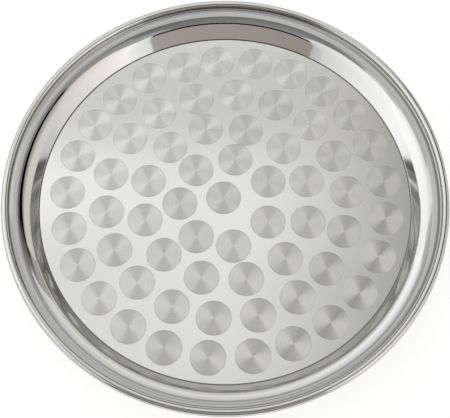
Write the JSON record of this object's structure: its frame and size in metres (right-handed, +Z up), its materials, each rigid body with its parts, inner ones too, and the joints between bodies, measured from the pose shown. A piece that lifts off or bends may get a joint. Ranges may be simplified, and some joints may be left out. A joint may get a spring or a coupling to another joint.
{
  "type": "round dinner tray",
  "caption": "Round stainless steel dinner tray with a flat swirl-finished floor, a sloping wall, a polished flange and a wired, curled rim.",
  "frame": {"origin": "centre of the underside, on the surface that the tray stands on", "axes": "+Z up along the tray's round axis, +Y away from the picture's camera, +X to its right"},
  "size_m": [0.3556, 0.3556, 0.0187],
  "materials": {
    "tray_steel": "mirror polished rim and wall, satin floor with engine-turned swirl spots",
    "wire_steel": "plain drawn wire"
  },
  "bodies": {
    "root": {"pressed_pan": "tray_steel", "rim_wire": "wire_steel"}
  },
  "joints": []
}
